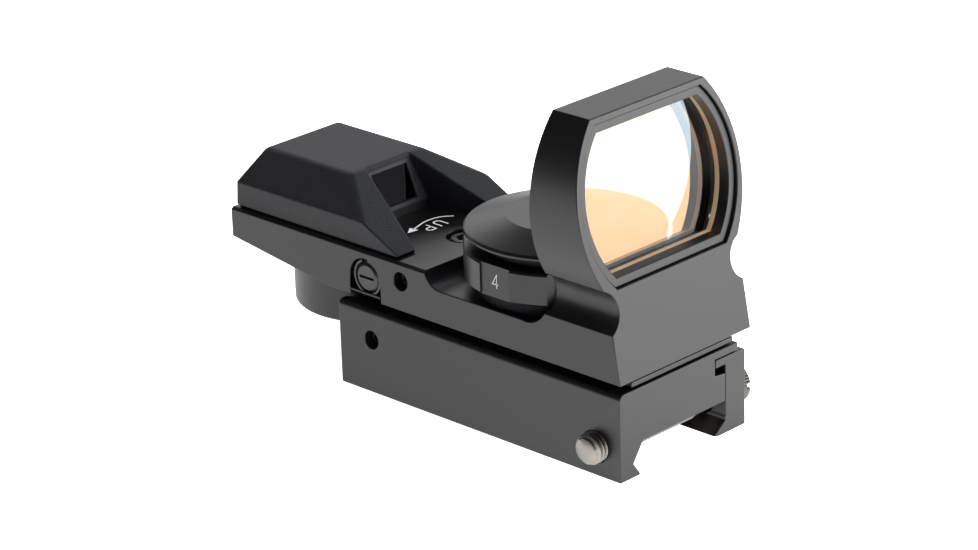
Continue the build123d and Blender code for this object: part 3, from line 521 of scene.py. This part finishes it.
def knurledHead(settings):
    # rings along X: radius less knurl depth times one minus a rippling sine, fading at the ends
    around = settings["knurls"] * 6
    angle = np.linspace(0, 2 * np.pi, around, endpoint=False)
    edge, lip, long = settings["headChamfer"], settings["headLip"], settings["headLong"]
    rise = edge + settings["headBlend"]
    spots = [0, lip, edge, rise, long / 2, long - rise, long - edge, long - lip, long]
    run = np.array(spots) + settings["headFrom"]
    face = edge + settings["lipDrop"]
    base = np.array([face, edge, 0.02, 0, 0, 0, 0.02, edge, face])
    fade = np.array([0, 0.3, 0.9, 1, 1, 1, 0.9, 0.3, 0])
    ripple = np.abs(np.sin(angle * settings["knurls"] / 2)) ** 0.8
    groove = settings["knurlDepth"] * (1 - ripple)[None, :] * fade[:, None]
    radius = settings["headRadius"] - base[:, None] - groove
    return turnedGrid(radius, run, around)


def onAxis(points, y, z):  # moves a rod made round the X axis to its own axis, in metres
    return (points + np.array([0, y, z])) * mm


threadSmooth = 50  # degrees: a thread's crest stays sharp, its winding smooth
rodPoints, rodFaces = closedTurned(threadedRod(boltSettings), boltSettings["around"])
boltThread = pieceFrom("boltThread", onAxis(rodPoints, boltSettings["y"], boltSettings["z"]), rodFaces,
                       plated, threadSmooth)
headPoints, headFaces = closedTurned(knurledHead(boltSettings), boltSettings["knurls"] * 6)
boltHead = pieceFrom("boltHead", onAxis(headPoints, boltSettings["y"], boltSettings["z"]), headFaces,
                     headMetal, threadSmooth)
slotAt(boltHead, boltSettings, boltSettings["headFrom"] - boltSettings["slotPast"],
       boltSettings["headFrom"] + boltSettings["slotDepth"])
for made in (boltThread, boltHead):
    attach(made, "cross_bolt")
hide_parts("clamp_bolt")

# windage screw: fine thread down its side, flat slotted face
windageSettings = {"y": -23.4, "z": 14.1, "around": 64, "perPitch": 12, "pitch": 0.5, "major": 2.45,
                   "depth": 0.24, "from": 8.6, "to": 14.85, "threadFrom": 8.6, "chamfer": 0.45,
                   "slotHalf": 0.22, "slotDepth": 0.5, "slotReach": 1.6, "slotPast": 1}
rodPoints, rodFaces = closedTurned(threadedRod(windageSettings), windageSettings["around"])
windageThread = pieceFrom("windageThread", onAxis(rodPoints, windageSettings["y"], windageSettings["z"]),
                          rodFaces, satinSteel, threadSmooth)
slotAt(windageThread, windageSettings, windageSettings["to"] - windageSettings["slotDepth"],
       windageSettings["to"] + windageSettings["slotPast"])
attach(windageThread, "windage_adjuster")
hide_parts("windage_screw")

# open snap ring round the windage screw: a square wire carried round the screw, with a gap at the top
ringSettings = {"y": -23.4, "z": 14.1, "inner": 2.62, "outer": 3.0, "from": 14.15, "to": 14.7, "gapAt": 100,
                "gap": 26, "steps": 72}


def openRing(r):  # four corners of the wire at every angle of the open arc, closed at both ends
    half = math.radians(r["gap"] / 2)
    angle = np.linspace(half, 2 * math.pi - half, r["steps"]) + math.radians(r["gapAt"])
    corners = [(r["inner"], r["from"]), (r["outer"], r["from"]), (r["outer"], r["to"]), (r["inner"], r["to"])]
    reach, run = np.array(corners).T[:, None, :]
    side = r["y"] + reach * np.cos(angle)[:, None]
    rise = r["z"] + reach * np.sin(angle)[:, None]
    points = np.stack([np.broadcast_to(run, side.shape), side, rise], -1).reshape(-1, 3)
    faces = [tuple(f) for f in gridFaces(r["steps"], 4)]
    last = (r["steps"] - 1) * 4
    return points, faces + [(0, 1, 2, 3), (last + 3, last + 2, last + 1, last)]


ringPoints, ringFaces = openRing(ringSettings)
snapRing = pieceFrom("windageSnapRing", ringPoints * mm, ringFaces, satinSteel)
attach(snapRing, "sight")
print("screws made")

# ---- marks ----

fieldHeight = 1.6  # the figures below are single strokes on a field 1 wide and this high
digitStrokes = {
    "0": [[(0.5, 0), (0.85, 0.2), (0.95, 0.8), (0.85, 1.4), (0.5, 1.6), (0.15, 1.4), (0.05, 0.8),
           (0.15, 0.2), (0.5, 0)]],
    "1": [[(0.25, 1.25), (0.55, 1.6), (0.55, 0)]],
    "2": [[(0.08, 1.25), (0.25, 1.52), (0.6, 1.58), (0.88, 1.35), (0.85, 1.0), (0.08, 0), (0.92, 0)]],
    "3": [[(0.1, 1.42), (0.45, 1.6), (0.85, 1.4), (0.85, 1.05), (0.45, 0.85), (0.9, 0.62), (0.9, 0.2),
           (0.5, 0), (0.08, 0.18)]],
    "4": [[(0.72, 0), (0.72, 1.6), (0.04, 0.45), (0.98, 0.45)]],
    "5": [[(0.88, 1.6), (0.2, 1.6), (0.14, 0.9), (0.55, 1.0), (0.9, 0.75), (0.9, 0.25), (0.5, 0),
           (0.08, 0.18)]],
    "6": [[(0.8, 1.6), (0.35, 1.15), (0.08, 0.55), (0.2, 0.1), (0.55, 0), (0.9, 0.25), (0.88, 0.65),
           (0.55, 0.85), (0.15, 0.65)]],
    "7": [[(0.06, 1.6), (0.94, 1.6), (0.4, 0)]],
    "U": [[(0.05, 1.6), (0.05, 0.35), (0.25, 0.03), (0.75, 0.03), (0.95, 0.35), (0.95, 1.6)]],
    "P": [[(0.08, 0), (0.08, 1.6), (0.7, 1.6), (0.95, 1.38), (0.95, 1.02), (0.7, 0.8), (0.08, 0.8)]],
}


def strokeStrip(path, width, height):
    # a flat bar carried along a path: half its width to each side, mitred at bends
    sharpestBend, longestMitre = 0.35, 2.2
    path = np.asarray(path, float)
    closedPath = np.allclose(path[0], path[-1])
    step = np.diff(path, axis=0)
    step /= np.linalg.norm(step, axis=1)[:, None]
    before = np.vstack([step[-1] if closedPath else step[0], step])
    after = np.vstack([step, step[0] if closedPath else step[-1]])
    across = np.stack([-(before + after)[:, 1], (before + after)[:, 0]], -1)
    across /= np.maximum(np.linalg.norm(across, axis=1), 1e-6)[:, None]
    normal = np.stack([-after[:, 1], after[:, 0]], -1)
    reach = np.clip(1 / np.maximum((across * normal).sum(1), sharpestBend), 1, longestMitre)
    offset = across * (reach * width / 2)[:, None]
    left, right = path + offset, path - offset
    count = len(path)
    flat = np.vstack([left, right])
    points = np.vstack([np.c_[flat, np.zeros(2 * count)], np.c_[flat, np.full(2 * count, height)]])
    i = np.arange(count - 1)
    top = np.stack([i, i + 1, i + 1 + count, i + count], -1) + 2 * count
    bottom = top[:, ::-1] - 2 * count
    sideA = np.stack([i, i + 1, i + 1 + 2 * count, i + 2 * count], -1)
    sideB = sideA + count
    ends = np.array([[0, count, 3 * count, 2 * count], [count - 1, 2 * count - 1, 4 * count - 1,
                                                        3 * count - 1]])
    return points, np.vstack([top, bottom, sideA, sideB, ends])


def figureSet(strokes, width, height):  # joins several strips into one list of points and faces
    points, faces, start = [], [], 0
    for path in strokes:
        p, f = strokeStrip(path, width, height)
        points.append(p)
        faces.append(f + start)
        start += len(p)
    return np.vstack(points), np.vstack(faces)


# figures on the dial's sunk flats, one for each brightness step
dialSettings = {"y": 5.16, "flat": 15.15, "middle": 20.95, "figureHeight": 2.15, "stroke": 0.17,
                "lift": 0.012, "thick": 0.02, "first": 4, "count": 8}
markPoints, markFaces, start = [], [], 0
for step in range(dialSettings["count"]):
    figure = str((dialSettings["first"] + step) % dialSettings["count"])
    scale = dialSettings["figureHeight"] / fieldHeight
    p, f = figureSet([np.array(s) * scale for s in digitStrokes[figure]], dialSettings["stroke"],
                     dialSettings["thick"])
    turn = step * 2 * math.pi / dialSettings["count"]
    out = dialSettings["flat"] + dialSettings["lift"] + p[:, 2]
    side = p[:, 0] - scale / 2
    world = np.stack([out * math.cos(turn) - side * math.sin(turn),
                      out * math.sin(turn) + side * math.cos(turn) + dialSettings["y"],
                      p[:, 1] + dialSettings["middle"] - dialSettings["figureHeight"] / 2], -1)
    markPoints.append(world * mm)
    markFaces.append(f + start)
    start += len(p)
dialFigures = pieceFrom("dialFigures", np.vstack(markPoints), np.vstack(markFaces), paintWhite)
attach(dialFigures, "dial")

# direction mark beside the elevation screw: an arc with an arrowhead, and the word for raising the aim
upSettings = {"deck": 18.6, "lift": 0.012, "thick": 0.02, "stroke": 0.27, "letterHeight": 2.3,
              "letterWidth": 1.6, "base": -24.1, "uLeft": -2.2, "pLeft": 0.5,
              "arc": [(-5.13, -23.51), (-4.3, -24.3), (-3.37, -24.93), (-2.4, -25.24), (-1.48, -25.32),
                      (-0.5, -25.3), (0.4, -25.17), (1.23, -24.89), (2.2, -24.62), (3.4, -24.25)],
                      "head": [(5.1, -23.8), (3.3, -25.15), (2.95, -23.5)]}
strokes = [np.array(upSettings["arc"])]
for letter, left in (("U", upSettings["uLeft"]), ("P", upSettings["pLeft"])):
    for path in digitStrokes[letter]:
        strokes.append(np.array(path) * [upSettings["letterWidth"], upSettings["letterHeight"] / fieldHeight]
                       + [left, upSettings["base"]])
p, f = figureSet(strokes, upSettings["stroke"], upSettings["thick"])
head = np.array(upSettings["head"])
headSolid = np.vstack([np.c_[head, np.zeros(3)], np.c_[head, np.full(3, upSettings["thick"])]])
headFaces = [(2, 1, 0), (3, 4, 5), (0, 1, 4, 3), (1, 2, 5, 4), (2, 0, 3, 5)]
points = np.vstack([p, headSolid]) + [0, 0, upSettings["deck"] + upSettings["lift"]]
faces = [tuple(q) for q in f] + [tuple(i + len(p) for i in q) for q in headFaces]
raiseMark = pieceFrom("raiseMark", points * mm, faces, paintWhite)
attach(raiseMark, "sight")
print("marks made")

# lens coat: thin skin within the glass, where the reflecting face is seen through the front of it
lensSettings = {"lean": 10.38, "foot": 30.23, "footZ": 10.48, "depth": 5.72, "half": 17.0, "arc": 17.1,
                "arcZ": 36.6, "bottom": 24.8, "top": 48.9, "lift": 0.004, "thick": 0.002, "rows": 40,
                "columns": 60}


def lensSkin(s):  # rows up, columns across: half width is the arc's chord there, and depth follows the lean
    z = np.linspace(s["bottom"], s["top"], s["rows"])
    centre = s["half"] - s["arc"]
    half = centre + np.sqrt(s["arc"] ** 2 - (z - s["arcZ"]) ** 2)
    x = np.linspace(-1, 1, s["columns"])[None, :] * half[:, None]
    lean = math.radians(s["lean"])
    y = s["foot"] - (z - s["footZ"]) * math.tan(lean) - s["depth"] / math.cos(lean)
    z = np.repeat(z[:, None], s["columns"], 1)
    layers = [np.stack([x, np.repeat((y + lift)[:, None], s["columns"], 1), z], -1)
              for lift in (s["lift"] + s["thick"], s["lift"])]
    return np.concatenate([layer.reshape(-1, 3) for layer in layers])


def sheetFaces(rows, columns):  # front and back quads of a two-layer grid, and a band round its rim
    i = (np.arange(rows - 1)[:, None] * columns + np.arange(columns - 1)[None, :]).ravel()
    front = np.stack([i, i + 1, i + 1 + columns, i + columns], -1)
    back = front[:, ::-1] + rows * columns
    right = np.arange(1, rows) * columns + columns - 1
    top = (rows - 1) * columns + np.arange(columns - 1)[::-1]
    left = np.arange(1, rows - 1)[::-1] * columns
    rim = np.concatenate([np.arange(columns), right, top, left])
    nxt = np.roll(rim, -1)
    band = np.stack([rim, nxt, nxt + rows * columns, rim + rows * columns], -1)
    return np.vstack([front, back, band])


skin = pieceFrom("lensCoatSkin", lensSkin(lensSettings) * mm, sheetFaces(lensSettings["rows"],
                                                                         lensSettings["columns"]), lensCoat)
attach(skin, "sight")

# ground rim of the glass: a narrow frosted band round the front of the lens, inside its frame; its peach tone
# is painted orange light from the reflecting coat
rimSettings = {"inset": 1.46, "depth": 2.3, "to": 3.17, "thick": 0.02, "arcSteps": 48, "flatSteps": 24,
               "half": 17.2, "arc": 17.3, "arcZ": 36.6, "bottom": 24.6, "top": 49.1}


def windowLoop(r, inset):  # window outline: two arcs joined by two straight runs, as (x, z)
    reach, centre = r["arc"] - inset, r["half"] - r["arc"]
    low, high = r["bottom"] + inset, r["top"] - inset
    first, last = math.asin((low - r["arcZ"]) / reach), math.asin((high - r["arcZ"]) / reach)
    turn = np.linspace(first, last, r["arcSteps"])
    right = np.stack([centre + reach * np.cos(turn), r["arcZ"] + reach * np.sin(turn)], -1)
    left = right[::-1] * [-1, 1]
    share = np.linspace(0, 1, r["flatSteps"])[1:-1, None]
    top = right[-1] * (1 - share) + left[0] * share
    foot = left[-1] * (1 - share) + right[0] * share
    return np.vstack([right, top, left, foot])


def rimBand(r):  # four loops: front and back edge of the band, inner and outer side; depth follows the lean
    loops = []
    lean = math.radians(lensSettings["lean"])
    inner = r["inset"] + r["thick"]
    for inset, depth in ((r["inset"], r["depth"]), (inner, r["depth"]), (inner, r["to"]),
                         (r["inset"], r["to"])):
        flat = windowLoop(r, inset)
        rise = flat[:, 1] - lensSettings["footZ"]
        y = lensSettings["foot"] - rise * math.tan(lean) - depth / math.cos(lean)
        loops.append(np.stack([flat[:, 0], y, flat[:, 1]], -1))
    return np.stack(loops)


loops = rimBand(rimSettings)
around = loops.shape[1]
here = np.arange(around)
after = (here + 1) % around
closing = np.stack([3 * around + here, 3 * around + after, after, here], -1)
faces = np.vstack([gridFaces(4, around), closing])
glassRim = pieceFrom("lensGroundRim", loops.reshape(-1, 3) * mm, faces, frostedRimPaintedLight)
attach(glassRim, "sight")
print("lens coat made")

# ---- studio ----

studio = {"floorSize": 6.0, "floorDrop": 0.2, "toneLow": (0.84, 0.84, 0.84, 1),
          "toneHigh": (0.88, 0.88, 0.88, 1), "floorSeen": 0.7, "floorGlow": 0.55, "floorGlowRight": 1.5,
          "rampReach": 70.0, "worldSeen": 1.6, "worldGlow": 0.04}
floorMesh = bpy.data.meshes.new("studioFloor")
edge = studio["floorSize"] / 2
floorMesh.from_pydata([(-edge, -edge, 0), (edge, -edge, 0), (edge, edge, 0), (-edge, edge, 0)], [],
                      [(0, 1, 2, 3)])
floorMesh.transform(Matrix.Translation((0, 0, cadLow.z - studio["floorDrop"] * mm)))
studioFloor = bpy.data.objects.new("studioFloor", floorMesh)
bpy.context.scene.collection.objects.link(studioFloor)
floorFinish, tree, output = newFinish("paleFloor")
dust = shader(tree, "TexNoise", Vector=place(tree), Scale=0.02, Detail=2.0).outputs[0]
tone = shader(tree, "MixRGB", Fac=dust, Color1=studio["toneLow"], Color2=studio["toneHigh"]).outputs[0]
matt = shader(tree, "BsdfDiffuse", Color=tone).outputs[0]
spots = shader(tree, "SeparateXYZ", Vector=place(tree))
drift = shader(tree, "Math", set_operation="SUBTRACT", i0=spots.outputs[1], i1=spots.outputs[0]).outputs[0]
ramp = shader(tree, "MapRange", Value=drift, From_Min=-studio["rampReach"], From_Max=studio["rampReach"],
              To_Min=studio["floorGlow"], To_Max=studio["floorGlowRight"]).outputs[0]
seen = tree.nodes.new("ShaderNodeLightPath").outputs["Is Camera Ray"]
shown = shader(tree, "Math", set_operation="MULTIPLY_ADD", i0=seen, i1=studio["floorSeen"],
               i2=ramp).outputs[0]
lit = shader(tree, "Emission", Color=tone, Strength=shown).outputs[0]
both = shader(tree, "AddShader", i0=matt, i1=lit).outputs[0]
tree.links.new(both, output.inputs[0])
floorMesh.materials.append(floorFinish)

world = bpy.data.worlds.new("studioWorld")
bpy.context.scene.world = world
world.use_nodes = True
tree = world.node_tree
tree.nodes.clear()
rays = tree.nodes.new("ShaderNodeLightPath")
glow = shader(tree, "MapRange", Value=rays.outputs["Is Camera Ray"], To_Min=studio["worldGlow"],
              To_Max=studio["worldSeen"]).outputs[0]
sky = shader(tree, "Background", Color=(1, 1, 1, 1), Strength=glow)
skyOut = tree.nodes.new("ShaderNodeOutputWorld")
tree.links.new(sky.outputs[0], skyOut.inputs[0])


def panel(name, settings):
    # soft oblong light at a bearing and height, facing the sight; energy is glow times pi times area
    bearing, height = math.radians(settings["bearing"]), math.radians(settings["height"])
    away = Vector((math.sin(bearing) * math.cos(height), -math.cos(bearing) * math.cos(height),
                   math.sin(height)))
    aim = Vector(settings.get("aim", (0, 0, 0.02)))
    lamp = bpy.data.lights.new(name, "AREA")
    lamp.shape = "RECTANGLE"
    lamp.size, lamp.size_y = settings["wide"], settings["tall"]
    lamp.energy = settings["glow"] * math.pi * settings["wide"] * settings["tall"]
    lamp.color = settings.get("tint", (1, 1, 1))
    lampObject = bpy.data.objects.new(name, lamp)
    lampObject.location = aim + away * settings["far"]
    lampObject.rotation_mode = "QUATERNION"
    lampObject.rotation_quaternion = away.to_track_quat("Z", "Y")
    lampObject.visible_glossy = settings.get("inGloss", True)
    lampObject.visible_camera = False
    bpy.context.scene.collection.objects.link(lampObject)
    return lampObject


panel("topFill", {"bearing": 134, "height": 88, "far": 1.6, "wide": 2.4, "tall": 2.4, "glow": 2.2,
                  "inGloss": False})
panel("backPanel", {"bearing": -45.7, "height": 22, "far": 1.1, "wide": 1.5, "tall": 0.45, "glow": 1.5})
panel("skyPanel", {"bearing": -88, "height": 46, "far": 1.2, "wide": 0.9, "tall": 0.6, "glow": 0.75,
                   "tint": (0.86, 0.9, 1.0)})
panel("frontBox", {"bearing": 222, "height": 10, "far": 0.9, "wide": 0.9, "tall": 0.5, "glow": 5.0})
print("studio lit")

# ---- camera ----

view = {"back": (0.66424, 0.64866, 0.37154), "right": (-0.69047, 0.72284, -0.02755),
        "up": (-0.28643, -0.23824, 0.92802), "at": (0.37176, 0.35353, 0.22185), "lens": 130.65,
        "sensor": 36.0, "shiftX": -0.00677, "shiftY": -0.00206}
cameraData = bpy.data.cameras.new("studioCamera")
cameraData.lens, cameraData.sensor_width = view["lens"], view["sensor"]
cameraData.shift_x, cameraData.shift_y = view["shiftX"], view["shiftY"]
cameraData.clip_start, cameraData.clip_end = 0.01, 20
camera = bpy.data.objects.new("studioCamera", cameraData)
bpy.context.scene.collection.objects.link(camera)
stand = Matrix((view["right"], view["up"], view["back"])).transposed().to_4x4()
stand.translation = Vector(view["at"])
camera.matrix_world = stand
bpy.context.scene.camera = camera
bpy.context.scene.view_settings.view_transform = "Standard"
print("camera placed")
